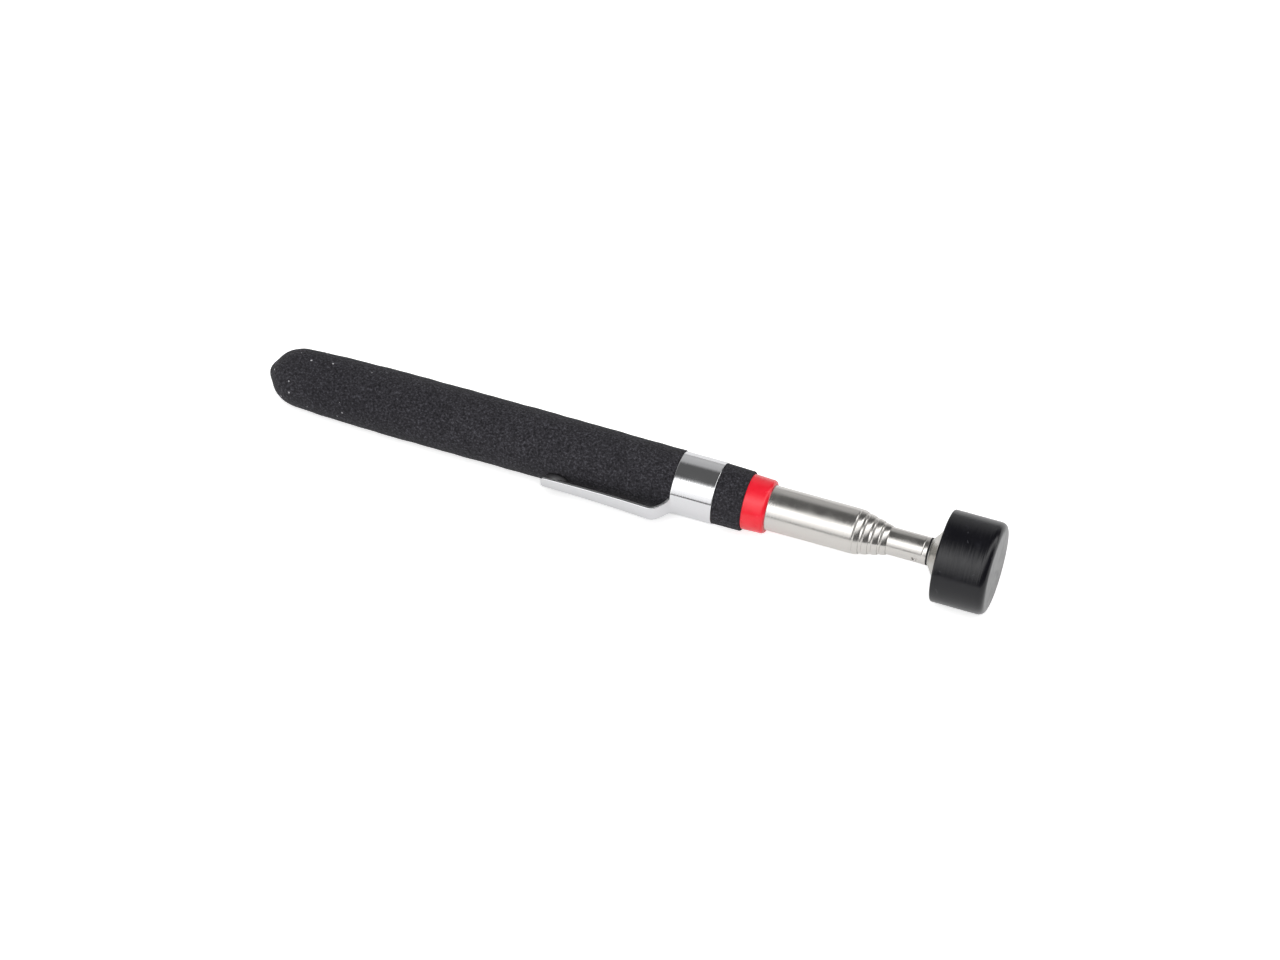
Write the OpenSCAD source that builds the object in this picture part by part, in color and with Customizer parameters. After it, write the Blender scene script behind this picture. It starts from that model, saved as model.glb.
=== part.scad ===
// Telescopic magnetic pick-up tool with a foam grip, a pocket clip and a capped pot magnet.
// Millimetres. The tool lies along X with its magnet face at the origin, pointing +X, and +Z is up.
// Every piece is drawn standing on the tail end, along z, and is then laid down by lay_down().

/* [Telescopic tubes] */
// Outside diameter of the fixed outer tube
outer_tube_diameter = 9.8; // [8.8:0.1:10.6]
// Drop in diameter from one tube to the next
diameter_step = 0.95; // [0.9:0.01:1.05]
// Wall of every tube
tube_wall = 0.22; // [0.16:0.01:0.24]
// Length of the outer tube
outer_tube_length = 127.5; // [122:0.1:150]
// How far the nose of tube 2 stands out of tube 1 when closed
nose_reach_2 = 1.95; // [1.7:0.05:6]
// How far the nose of tube 3 stands out of tube 2 when closed
nose_reach_3 = 2; // [1.7:0.05:6]
// How far the nose of tube 4 stands out of tube 3 when closed
nose_reach_4 = 1.75; // [1.7:0.05:6]
// How far tube 5 stands out of tube 4 when closed
tip_reach = 8.7; // [6:0.1:30]
// Length of the rolled nose on tubes 1 to 4
nose_length = 1.1; // [0.8:0.1:1.6]
// Gap between a nose and the tube that slides through it
mouth_clearance = 0.05; // [0.02:0.01:0.08]
// Diameter of the punched dent that stakes tube 5 to the head
stake_diameter = 1.2; // [0.4:0.1:1.4]
// Distance of that dent from the end of tube 5
stake_setback = 2.35; // [1.5:0.05:6]

/* [Friction shims] */
// Length of each brass half shell
shim_length = 8; // [5:0.5:12]
// Thickness of each brass half shell
shim_thickness = 0.15; // [0.1:0.01:0.16]
// Arc that each half shell covers, in degrees
shim_arc = 164; // [120:1:172]
// Gap between a half shell and the tube that it sits on
shim_clearance = 0.03; // [0.01:0.01:0.04]
// Height of the bead and of the flare that keep the shims in place
bead_height = 0.17; // [0.12:0.01:0.2]
// Width of the bead and of the flare
bead_width = 0.6; // [0.4:0.1:1]
// Step from the rear end of one tube to the rear end of the next when closed
rear_stagger = 1.5; // [0.5:0.1:3]

/* [Foam grip] */
// Diameter of the straight part of the grip
grip_diameter = 14.2; // [13.6:0.1:17]
// Length of the grip from its tail to the ferrule
grip_length = 108.9; // [105:0.1:118]
// Diameter where the tail begins to round over
tail_diameter = 12.9; // [12.4:0.1:13.4]
// Length of the rounded tail
tail_round = 8; // [7:0.1:10]
// Length over which the grip swells from the rounded tail to its full diameter
swell_length = 30; // [20:1:36]
// Length of the straight part of the grip
barrel_length = 26; // [20:0.5:26]
// Diameter of the grip where it meets the clip band
grip_neck_diameter = 13.8; // [13.6:0.1:14.2]
// Length of the foam ring between the clip band and the ferrule
ring_length = 6.3; // [3:0.1:8]
// Diameter of the foam ring at the clip band
ring_diameter = 13.2; // [12.8:0.1:13.6]
// Diameter of the foam ring at the ferrule
ring_front_diameter = 12.95; // [12.5:0.05:13.2]
// Thickness of foam behind the tail plug
tail_thickness = 6; // [5.6:0.1:9]

/* [Tail plug] */
// Length of the plug inside the outer tube
plug_length = 4; // [2:0.5:8]
// Thickness of the plug's flange
plug_flange = 0.8; // [0.5:0.1:1.5]

/* [Ferrule] */
// Length of the red ferrule
ferrule_length = 5; // [3:0.1:8]
// Diameter of the ferrule at the foam
ferrule_diameter = 12; // [11.8:0.1:12.9]
// Diameter of the ferrule before its front edge rounds over
ferrule_front_diameter = 11.6; // [11.5:0.1:11.8]
// Radius of the ferrule's front edge
ferrule_edge = 0.7; // [0.3:0.1:0.7]

/* [Pocket clip] */
// Outside diameter of the clip band
band_diameter = 13.6; // [13.4:0.1:14]
// Length of the clip band along the grip
band_length = 9.2; // [6:0.1:12]
// Thickness of the clip's sheet
clip_thickness = 0.6; // [0.4:0.05:0.8]
// Direction of the clip round the grip, from straight down towards the side, in degrees
clip_roll = 85; // [0:1:180]
// Length of the tongue from the band to its tip
tongue_length = 28.4; // [26:0.1:29]
// Length of the bend that lifts the tongue off the grip
bend_length = 2.9; // [2.6:0.1:5]
// Gap between the tongue and the grip at the bend
root_gap = 2.3; // [1.4:0.05:2.8]
// Gap between the tongue and the grip at the tip
tip_gap = 1.7; // [0.9:0.05:2.1]
// Width of the tongue where it leaves the band
root_width = 4.4; // [3.8:0.1:7]
// Width of the tongue after the bend
tongue_width = 3.8; // [3.4:0.1:4.6]
// Width of the tongue near its tip
tip_width = 3.6; // [3:0.1:4]
// Corner radius of the tongue's tip
tip_corner = 1.1; // [0.4:0.1:1.4]
// Radius of the dome near the tip
dome_radius = 1.8; // [1.5:0.05:2]
// Distance of the dome from the tip
dome_setback = 3.2; // [2.5:0.1:6]
// How far the dome presses into the foam
dome_press = 0.4; // [0.3:0.05:1]
// Gap between the tongue and the band that it springs from
spring_gap = 0.03; // [0.02:0.01:0.06]
// Gap between the clip and the hollows that it presses in the foam
dent_clearance = 0.15; // [0.1:0.01:0.3]

/* [Magnet head] */
// Diameter of the black cap
cap_diameter = 20; // [18:0.1:24]
// Length of the black cap
cap_length = 11.7; // [9:0.1:16]
// Wall of the black cap
cap_wall = 0.8; // [0.6:0.05:1.2]
// Thickness of the cap in front of the magnet
cap_front = 1; // [0.6:0.1:1.5]
// Radius of the cap's front edge
cap_front_edge = 1; // [0.3:0.1:1.3]
// Radius of the cap's back edge
cap_back_edge = 0.35; // [0.1:0.05:0.5]
// How far the pole cup is set into the back of the cap
cup_recess = 0.5; // [0.2:0.1:1]
// Wall of the steel pole cup
cup_wall = 1.4; // [0.8:0.1:2]
// Thickness of the pole cup's back
cup_back = 1.5; // [1:0.1:2.5]
// Glue gap round the magnet
glue_gap = 0.2; // [0.05:0.05:0.4]
// Thickness of the black washer behind the head
washer_thickness = 0.4; // [0.2:0.1:1]
// Length of the stem's cone from the washer to the back of the cap
cone_length = 2.6; // [1.6:0.1:5]
// Diameter of the cone at the pole cup
cone_diameter = 14.2; // [10:0.1:15]
// Length of the stem's shank inside tube 5
shank_length = 7.6; // [6:0.1:8]
// Gap between the shank and tube 5
shank_clearance = 0.02; // [0.01:0.01:0.04]
// Diameter of the rivet spigot through the pole cup
spigot_diameter = 5; // [3:0.1:6]

/* [Hidden] */
$fn = 96;
overlap = 0.1;
arc_steps = 12;
swell_power = 2.4;
tail_power = 0.62;
stake_depth = 0.13;
stake_roll = 90;
plug_rest_gap = 0.5;
flare_slack = 0.1;
edge_round = 0.4;

steel_colour = [0.78, 0.77, 0.76];
chrome_colour = [0.86, 0.86, 0.88];
brass_colour = [0.80, 0.64, 0.30];
foam_colour = [0.15, 0.15, 0.16];
red_colour = [0.86, 0.08, 0.10];
black_colour = [0.05, 0.05, 0.06];
grey_colour = [0.45, 0.46, 0.48];

outer_tube_start = tail_thickness + plug_flange;
front_1 = outer_tube_start + outer_tube_length;
front_2 = front_1 + nose_reach_2;
front_3 = front_2 + nose_reach_3;
front_4 = front_3 + nose_reach_4;
front_5 = front_4 + tip_reach;
fronts = [front_1, front_2, front_3, front_4, front_5];
rear_2 = outer_tube_start + plug_length + plug_rest_gap;
washer_front = front_5 + washer_thickness;
cap_start = washer_front + cone_length;
total_length = cap_start + cap_length;
cup_start = cap_start + cup_recess;
cup_front = total_length - cap_front;
cup_radius = cap_diameter / 2 - cap_wall;
magnet_radius = cup_radius - cup_wall - glue_gap;
grip_radius = grip_diameter / 2;
barrel_start = tail_round + swell_length;
barrel_end = barrel_start + barrel_length;
band_front = grip_length - ring_length;
band_start = band_front - band_length;
band_radius = band_diameter / 2;
bend_end = band_start - bend_length;
tongue_tip = band_start - tongue_length;
dome_place = tongue_tip + dome_setback;
dome_centre = grip_radius - dome_press + dome_radius;
shank_radius = tube_bore(5) - shank_clearance;
ferrule_front = grip_length + ferrule_length;

// Outside radius, bore radius, mouth radius and rear end of tube n.
function tube_radius(n) = (outer_tube_diameter - (n - 1) * diameter_step) / 2;
function tube_bore(n) = tube_radius(n) - tube_wall;
function tube_mouth(n) = tube_radius(n + 1) + mouth_clearance;
function tube_front(n) = fronts[n - 1];
function tube_rear(n) = rear_2 + (n - 2) * rear_stagger;
function shim_start(n) = tube_rear(n) + bead_width + flare_slack / 2;
function bead_start(n) = tube_rear(n) + bead_width + shim_length + flare_slack;

// Radius of the foam over the rounded tail, over the swell and over the neck.
function tail_radius(z) = tail_diameter / 2 * pow(max(0, 1 - pow(1 - z / tail_round, 2)), tail_power);
function swell_radius(z) =
    grip_radius - (grip_diameter - tail_diameter) / 2 * pow((barrel_start - z) / swell_length, swell_power);

// Centre line of the clip from the band at u = 0 over the bend at u = 1, as radius and height.
root_radius = grip_radius + root_gap + clip_thickness / 2;
tip_radius = grip_radius + tip_gap + clip_thickness / 2;
function bend_point(u) = [
    band_radius - clip_thickness / 2 + (root_radius - band_radius + clip_thickness / 2) * (1 - cos(180 * u)) / 2,
    band_start - spring_gap - (bend_length - spring_gap) * u];
function bend_slope(u) =
    (root_radius - band_radius + clip_thickness / 2) * PI / 2 * sin(180 * u) / (bend_length - spring_gap);
// The same line moved sideways by a distance, along the sheet's normal.
function bend_offset(u, side) = bend_point(u) + side / sqrt(1 + pow(bend_slope(u), 2)) * [1, bend_slope(u)];
// Half the width of the tongue at a height.
function half_width(z) = z < bend_end
    ? (tip_width + (tongue_width - tip_width) * (z - tongue_tip) / (bend_end - tongue_tip)) / 2
    : (tongue_width + (root_width - tongue_width) * pow((z - bend_end) / bend_length, 2)) / 2;

module lay_down() {
    translate([-total_length, 0, 0])
        rotate([0, 90, 0])
            children();
}

module revolve(points) {
    rotate_extrude()
        polygon(points);
}

module disc(radius, start, end) {
    translate([0, 0, start])
        cylinder(r = radius, h = end - start);
}

// A quarter round from [radius, start] to [radius - depth, start + length].
function quarter(radius, start, depth, length) = [for (i = [0 : arc_steps])
    [radius - depth * (1 - cos(90 * i / arc_steps)), start + length * sin(90 * i / arc_steps)]];

module grip() {
    rounded_tail = [for (i = [0 : 2 * arc_steps]) let (z = tail_round * pow(i / (2 * arc_steps), 2)) [tail_radius(z), z]];
    swell = [for (i = [1 : arc_steps]) let (z = tail_round + swell_length * i / arc_steps) [swell_radius(z), z]];
    body = [
        [grip_radius, barrel_end],
        [grip_neck_diameter / 2, band_start - edge_round],
        [grip_neck_diameter / 2 - edge_round, band_start],
        [band_radius - clip_thickness, band_start],
        [band_radius - clip_thickness, band_front],
        [ring_diameter / 2, band_front]];
    front = quarter(ring_front_diameter / 2, grip_length - edge_round, edge_round, edge_round);
    color(foam_colour)
        lay_down()
            difference() {
                revolve(concat(rounded_tail, swell, body, front, [[0, grip_length]]));
                disc(outer_tube_diameter / 2, tail_thickness, grip_length + overlap);
                rotate([0, 0, -clip_roll])
                    translate([dome_centre, 0, dome_place])
                        sphere(r = dome_radius + dent_clearance);
                bend_hollow();
            }
}

// The hollow that the bend of the clip presses in the foam behind the band.
module bend_hollow() {
    half = root_width / 2 + dent_clearance;
    under = [for (i = [0 : arc_steps]) bend_offset(i / arc_steps, -clip_thickness / 2 - dent_clearance)];
    rotate([0, 0, -clip_roll])
        intersection() {
            rotate([0, 0, 180])
                revolve(concat(
                    [[under[0][0], band_start + overlap]],
                    under,
                    [[under[arc_steps][0], band_start + overlap]]));
            translate([0, -half, bend_end])
                cube([2 * grip_radius, 2 * half, bend_length + overlap]);
        }
}

module clip_band() {
    color(chrome_colour)
        lay_down()
            difference() {
                disc(band_radius, band_start, band_front);
                disc(band_radius - clip_thickness, band_start - overlap, band_front + overlap);
            }
}

module clip_tongue() {
    half = clip_thickness / 2;
    outer_bend = [for (i = [0 : arc_steps]) bend_offset(i / arc_steps, half)];
    inner_bend = [for (i = [0 : arc_steps]) bend_offset(1 - i / arc_steps, -half)];
    strip = concat(outer_bend, [[tip_radius + half, tongue_tip], [tip_radius - half, tongue_tip]], inner_bend);
    corner = [for (i = [0 : arc_steps]) [
        tip_width / 2 - tip_corner * (1 - cos(90 * i / arc_steps)),
        tongue_tip + tip_corner * (1 - sin(90 * i / arc_steps))]];
    root = [for (i = [0 : arc_steps]) let (z = band_start - bend_length * i / arc_steps) [half_width(z), z]];
    side = concat(root, corner);
    other_side = [for (i = [len(side) - 1 : -1 : 0]) [-side[i][0], side[i][1]]];
    color(chrome_colour)
        lay_down()
            rotate([0, 0, -clip_roll])
                intersection() {
                    union() {
                        rotate([0, 0, 180])
                            revolve(strip);
                        intersection() {
                            translate([dome_centre, 0, dome_place])
                                sphere(r = dome_radius);
                            disc(tip_radius, tongue_tip, bend_end);
                        }
                    }
                    rotate([90, 0, 90])
                        linear_extrude(height = 2 * grip_radius)
                            polygon(concat(side, other_side));
                }
}

module end_ferrule() {
    edge = quarter(ferrule_front_diameter / 2, ferrule_front - ferrule_edge, ferrule_edge, ferrule_edge);
    color(red_colour)
        lay_down()
            revolve(concat(
                [[outer_tube_diameter / 2, grip_length], [ferrule_diameter / 2, grip_length]],
                edge,
                [[outer_tube_diameter / 2, ferrule_front]]));
}

// The rolled nose at the front of tube n, from its outside round to its bore.
function nose(n) = concat(
    quarter(tube_radius(n), tube_front(n) - nose_length,
        tube_radius(n) - tube_mouth(n) - mouth_clearance, nose_length),
    [[tube_mouth(n), tube_front(n)],
        [tube_mouth(n), tube_front(n) - nose_length / 2],
        [tube_bore(n), tube_front(n) - nose_length]]);

// The rear end of tube n: a flare, a seat for the shims and a bead in front of them.
function rear(n) = [
    [tube_bore(n), tube_rear(n)],
    [tube_radius(n) + bead_height, tube_rear(n)],
    [tube_radius(n) + bead_height, tube_rear(n) + bead_width],
    [tube_radius(n), tube_rear(n) + bead_width],
    [tube_radius(n), bead_start(n)],
    [tube_radius(n) + bead_height, bead_start(n)],
    [tube_radius(n) + bead_height, bead_start(n) + bead_width],
    [tube_radius(n), bead_start(n) + bead_width]];

module outer_tube() {
    color(steel_colour)
        lay_down()
            revolve(concat(
                [[tube_bore(1), outer_tube_start], [tube_radius(1), outer_tube_start]],
                nose(1)));
}

module sliding_tube(n) {
    color(steel_colour)
        lay_down()
            revolve(concat(rear(n), nose(n)));
}

module tube_2() {
    sliding_tube(2);
}

module tube_3() {
    sliding_tube(3);
}

module tube_4() {
    sliding_tube(4);
}

module tube_5() {
    stake_radius = stake_diameter / 2;
    dent_radius = (pow(stake_radius, 2) + pow(stake_depth, 2)) / (2 * stake_depth);
    color(steel_colour)
        lay_down()
            difference() {
                revolve(concat(rear(5), [[tube_radius(5), front_5], [tube_bore(5), front_5]]));
                rotate([0, 0, -stake_roll])
                    translate([tube_radius(5) - stake_depth + dent_radius, 0, front_5 - stake_setback])
                        sphere(r = dent_radius);
            }
}

// One brass half shell round the rear end of tube n, centred at an angle.
module shim(n, angle) {
    color(brass_colour)
        lay_down()
            rotate([0, 0, angle - shim_arc / 2])
                rotate_extrude(angle = shim_arc)
                    translate([tube_radius(n) + shim_clearance, shim_start(n)])
                        square([shim_thickness, shim_length]);
}

module tail_plug() {
    color(grey_colour)
        lay_down()
            union() {
                disc(outer_tube_diameter / 2, tail_thickness, outer_tube_start);
                disc(tube_bore(1), tail_thickness, outer_tube_start + plug_length);
            }
}

module neck_washer() {
    color(black_colour)
        lay_down()
            difference() {
                disc(tube_radius(5), front_5, washer_front);
                disc(shank_radius, front_5 - overlap, washer_front + overlap);
            }
}

module head_stem() {
    color(chrome_colour)
        lay_down()
            union() {
                disc(shank_radius, washer_front - shank_length, washer_front);
                revolve([[0, washer_front], [tube_radius(5), washer_front],
                    [cone_diameter / 2, cup_start], [0, cup_start]]);
                disc(spigot_diameter / 2, cup_start - overlap, cup_start + cup_back);
            }
}

module pole_cup() {
    color(grey_colour)
        lay_down()
            difference() {
                disc(cup_radius, cup_start, cup_front);
                disc(cup_radius - cup_wall, cup_start + cup_back, cup_front + overlap);
                disc(spigot_diameter / 2, cup_start - overlap, cup_front);
            }
}

module magnet() {
    color(grey_colour)
        lay_down()
            disc(magnet_radius, cup_start + cup_back, cup_front);
}

module head_cap() {
    outside = cap_diameter / 2;
    back_edge = [for (i = [0 : arc_steps]) [
        outside - cap_back_edge * (1 - sin(90 * i / arc_steps)),
        cap_start + cap_back_edge * (1 - cos(90 * i / arc_steps))]];
    front_edge = quarter(outside, total_length - cap_front_edge, cap_front_edge, cap_front_edge);
    color(black_colour)
        lay_down()
            revolve(concat(
                back_edge,
                front_edge,
                [[0, total_length], [0, cup_front], [cup_radius, cup_front], [cup_radius, cap_start]]));
}

grip();
clip_band();
clip_tongue();
end_ferrule();
outer_tube();
tail_plug();
tube_2();
tube_3();
tube_4();
tube_5();
shim(2, 180);  // shim_2_upper
shim(2, 0);  // shim_2_lower
shim(3, 180);  // shim_3_upper
shim(3, 0);  // shim_3_lower
shim(4, 180);  // shim_4_upper
shim(4, 0);  // shim_4_lower
shim(5, 180);  // shim_5_upper
shim(5, 0);  // shim_5_lower
neck_washer();
head_stem();
pole_cup();
magnet();
head_cap();
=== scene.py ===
"""Telescopic magnetic pick-up tool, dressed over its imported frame.

Lengths below are millimetres along the tool, measured from the tail of the grip, as in the part's source.
A point at height z on the tool lies at x = z - TOTAL in the frame, so the magnet's face is at x = 0.
"""

import math

import bmesh
import bpy
import numpy as np
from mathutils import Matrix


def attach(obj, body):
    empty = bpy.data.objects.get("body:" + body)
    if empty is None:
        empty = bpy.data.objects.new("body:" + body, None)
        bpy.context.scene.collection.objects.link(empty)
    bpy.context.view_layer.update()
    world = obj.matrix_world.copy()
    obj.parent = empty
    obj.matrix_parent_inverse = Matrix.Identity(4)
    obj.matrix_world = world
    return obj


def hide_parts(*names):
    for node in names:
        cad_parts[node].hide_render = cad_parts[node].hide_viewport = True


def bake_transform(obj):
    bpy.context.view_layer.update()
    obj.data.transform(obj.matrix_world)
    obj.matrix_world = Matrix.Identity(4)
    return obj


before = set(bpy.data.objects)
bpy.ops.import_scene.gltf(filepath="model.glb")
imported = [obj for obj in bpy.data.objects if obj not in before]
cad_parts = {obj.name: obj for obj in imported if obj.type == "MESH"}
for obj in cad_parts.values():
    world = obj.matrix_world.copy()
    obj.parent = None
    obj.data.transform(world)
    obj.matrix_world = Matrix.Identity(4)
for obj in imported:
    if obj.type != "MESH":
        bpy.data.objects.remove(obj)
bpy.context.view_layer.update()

MM = 0.001
TOTAL = 163.4
AROUND, BAND_AROUND, CAP_AROUND = 160, 240, 200  # columns round a turned piece
BESIDE = 99.0  # a radius past every piece, given where a form does not reach

# The foam grip.
TAIL_ROUND, TAIL_RADIUS, TAIL_POWER = 8.0, 6.45, 0.62
SWELL, SWELL_POWER, GRIP_RADIUS = 30.0, 2.4, 7.1
BARREL_END, NECK_RADIUS, NECK_EDGE = 64.0, 6.9, 0.5
BAND_START, BAND_FRONT, BAND_RADIUS = 93.4, 102.6, 6.8
RING_RADIUS, RING_FRONT_RADIUS, GRIP_FRONT, BORE_START = 6.6, 6.475, 108.9, 6.0
PINCH, PINCH_GIRTH, PINCH_WIDTH = 0.3, 2.9, 1.3
WAVE, WAVES_FROM = 0.02, 6.0
LIP, LIP_AT, LIP_WIDTH = 0.12, 0.75, 0.4
DENT_ROOM, HOLLOW_ROOM, FINE_REACH = 0.1, 0.04, 3.4
# The pocket clip.
SHEET = 0.6
CLIP_ROLL = math.radians(85.0)
BEND_LEAD, BEND, TONGUE = 0.15, 3.6, 28.0
ROOT_RADIUS, TIP_RADIUS, BOW = 9.7, 9.1, 0.2
ROOT_WIDTH, TONGUE_WIDTH, TIP_WIDTH = 4.5, 4.3, 3.1
ROOT_FLARE, FLARE_LENGTH, FLARE_POWER = 0.45, 1.0, 2.5
TIP_CORNER, TIP_EDGE, SIDE_EDGE, BAND_EDGE = 0.9, 0.25, 0.14, 0.14
DOME_LONG, DOME_WIDE, DOME_DEEP, DOME_POWER, DOME_SETBACK = 2.8, 1.65, 2.7, 0.35, 3.2
DOME_CENTRE = TIP_RADIUS + (ROOT_RADIUS - TIP_RADIUS) * DOME_SETBACK / (TONGUE - BEND)
# The clip's inner face: extra roughness, and a darker colour that is painted shade.
INNER_DULL, INNER_PAINTED_SHADE = 0.36, "#9c9b9d"
# The ferrule.
FERRULE_FRONT, FERRULE_RADIUS, FERRULE_FRONT_RADIUS, FERRULE_EDGE = 113.9, 6.0, 5.8, 0.84
# The tubes.
TUBE_RADII = np.array([4.9, 4.425, 3.95, 3.475, 3.0])
TUBE_REARS = np.array([6.8, 11.3, 12.8, 14.3, 15.8])
TUBE_FRONTS = np.array([134.3, 136.25, 138.25, 140.0, 148.7])
TUBE_WALL, MOUTH_GAP = 0.22, 0.05
NOSE, NOSE_DROP, NOSE_ROUND = 1.1, 0.75, 0.65
CRIMP_WIDTH, CRIMP_DEPTH, CRIMP_LEAD = 0.45, 0.11, 0.3
BEAD_HEIGHT, BEAD_WIDTH, SHIM_SEAT = 0.17, 0.6, 8.1
LAST = 4  # the thin tube that carries the head
END_LINE, END_LINE_DEPTH, END_LINE_WIDTH = 0.9, 0.03, 0.08
STAKE_ROLL, STAKE_RADIUS, STAKE_DEPTH, STAKE_SETBACK = math.radians(90.0), 0.6, 0.38, 2.35
STAKE_RIM, STAKE_RIM_AT, STAKE_RIM_WIDTH = 0.03, 1.15, 0.25
# The head.
WASHER_FRONT, CAP_START, CUP_START, CUP_BACK = 149.1, 151.7, 152.2, 1.5
SHANK_LENGTH, SHANK_RADIUS, CONE_RADIUS, SPIGOT_RADIUS = 7.6, 2.76, 7.1, 2.5
GROOVE_TOP, GROOVE_FLOOR, GROOVE_DEPTH = 0.5, 0.4, 0.2
CAP_RADIUS, CAP_WALL, CAP_FRONT, CAP_FRONT_EDGE, CAP_BACK_EDGE = 10.0, 0.8, 1.0, 1.7, 0.42
# Lint on the foam: where it starts, where it is full, and its spacing.
LINT_FROM, LINT_FULL, LINT_SPACING = 28.4, 13.4, 2.4
# The draw up to which a cell stays bare, the size of a speck as a share of the spacing, and its strength.
LINT_CUT, LINT_SIZE, LINT_STRENGTH = 0.4, 0.09, 0.85
# The floor, the light and the camera. The contacts are x in the frame, and the lamp and camera are in metres.
HEAD_CONTACT, GRIP_CONTACT, FLOOR_REACH = -6.0, 45.0 - TOTAL, 4000.0
FLOOR_LIFT, FLOOR_MIRRORED, FLOOR_GREY = 0.6, 0.08, 0.92
STUDIO, SLANT, SLANT_FROM = 2.4, 1.6, -0.21
LAMP_SIZE, LAMP_POWER, LAMP_AWAY, LAMP_TILT = 0.9, 6.0, 1.3, math.radians(32.0)
CAMERA_AZIMUTH, CAMERA_ELEVATION = math.radians(19.64), math.radians(51.0)
CAMERA_DISTANCE, FOCAL_PIXELS, FRAME_WIDTH, SENSOR = 0.955, 4508.0, 1280.0, 36.0
LOOK_AT_Z, LOOK_RIGHT, LOOK_UP = 85.1, -0.48, -1.72


# Shapes


def smooth(value):
    """3 v^2 - 2 v^3 with v held between 0 and 1: an even ease from 0 to 1."""
    value = np.clip(value, 0.0, 1.0)
    return value * value * (3.0 - 2.0 * value)


def bell(value, middle, width):
    """exp(-((v - middle) / width)^2): 1 at the middle, falling off on both sides."""
    return np.exp(-(((value - middle) / width) ** 2))


def lower(one, other, blend=0.05):
    """The smaller of two lengths with a rounded crease: -b log(exp(-one / b) + exp(-other / b))."""
    return -blend * np.logaddexp(-one / blend, -other / blend)


def stations(start, end, step, fine_step, *spans):
    """Places from start to end at a step, and at a finer step inside the spans."""
    places = [np.arange(start, end, step)] + [np.arange(low, high, fine_step) for low, high in spans]
    places = np.sort(np.concatenate(places))
    return places[np.r_[True, np.diff(places) > 0.3 * fine_step]]


def rounded(corners, trims, steps=7):
    """A polyline whose corners are rounded by parabolas.

    Each corner P with trim t becomes (1-s)^2 A + 2 s (1-s) P + s^2 B, where A and B lie t before and after P
    on its two sides. A point just outside A and B keeps the shading of the straight parts straight. A trim of
    0 stays sharp.
    """
    corners, trims = np.asarray(corners, float), np.asarray(trims, float)[:, None]
    before, after = np.roll(corners, 1, 0) - corners, np.roll(corners, -1, 0) - corners
    before[0], after[-1] = after[0], before[-1]
    before /= np.linalg.norm(before, axis=1)[:, None]
    after /= np.linalg.norm(after, axis=1)[:, None]
    s = np.linspace(0.0, 1.0, steps)[None, :, None]
    start, end = corners + before * trims, corners + after * trims
    arc = (1 - s) ** 2 * start[:, None] + 2 * s * (1 - s) * corners[:, None] + s**2 * end[:, None]
    lead, trail = corners + 1.25 * before * trims, corners + 1.25 * after * trims
    line = np.concatenate([lead[:, None], arc, trail[:, None]], 1).reshape(-1, 2)
    keep = np.r_[True, np.linalg.norm(np.diff(line, axis=0), axis=1) > 1e-6]
    return line[keep]


def sheet_mesh(name, points, ring=True, loop=False):
    """A mesh over a grid of points (rows, columns, 3) in millimetres.

    Rows follow the profile and columns go round it. ring joins the last column to the first, and loop the
    last row to the first. Points that coincide, as at a pole, are merged, and the faces are turned outwards.
    """
    rows, columns = points.shape[:2]
    index = np.arange(rows * columns).reshape(rows, columns)
    index = np.concatenate([index, index[:, :1]], 1) if ring else index
    index = np.concatenate([index, index[:1]], 0) if loop else index
    quads = np.stack([index[:-1, :-1], index[1:, :-1], index[1:, 1:], index[:-1, 1:]], -1).reshape(-1, 4)
    mesh = bpy.data.meshes.new(name)
    mesh.from_pydata((points.reshape(-1, 3) * MM).tolist(), [], quads.tolist())
    edit = bmesh.new()
    edit.from_mesh(mesh)
    bmesh.ops.remove_doubles(edit, verts=edit.verts, dist=1e-7)
    bmesh.ops.dissolve_degenerate(edit, edges=edit.edges, dist=1e-8)
    bmesh.ops.recalc_face_normals(edit, faces=edit.faces)
    edit.to_mesh(mesh)
    edit.free()
    mesh.shade_smooth()
    piece = bpy.data.objects.new(name, mesh)
    bpy.context.collection.objects.link(piece)
    return piece


def on_tool(z, radius, angle):
    """Points of the frame, in millimetres, from the height, radius and angle on the tool.

    The angle is 0 straight down and grows towards -Y. The point is (z - TOTAL, -r sin a, -r cos a).
    """
    z, radius, angle = np.broadcast_arrays(z, radius, angle)
    return np.stack([z - TOTAL, -radius * np.sin(angle), -radius * np.cos(angle)], -1)


def turned(profile, around=AROUND):
    """A profile of (z, radius) turned once about the tool's axis."""
    angle = np.linspace(0.0, 2.0 * math.pi, around, endpoint=False)
    z, radius = np.asarray(profile, float).T[:, :, None]
    return on_tool(z + 0.0 * angle, radius, angle[None, :])


def grip_radius(z):
    """The foam's radius at height z.

    A power of an ellipse over the tail, an easing swell, a straight barrel and a straight taper to the neck.
    """
    left_of_tail = 1.0 - np.minimum(z, TAIL_ROUND) / TAIL_ROUND
    tail = TAIL_RADIUS * np.maximum(0.0, 1.0 - left_of_tail**2) ** TAIL_POWER
    left = np.clip((TAIL_ROUND + SWELL - z) / SWELL, 0.0, 1.0)
    swell = GRIP_RADIUS - (GRIP_RADIUS - TAIL_RADIUS) * left**SWELL_POWER
    along_neck = np.clip((z - BARREL_END) / (BAND_START - BARREL_END), 0.0, 1.0)
    neck = GRIP_RADIUS - (GRIP_RADIUS - NECK_RADIUS) * along_neck
    return np.where(z < TAIL_ROUND, tail, np.minimum(swell, neck))


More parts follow.
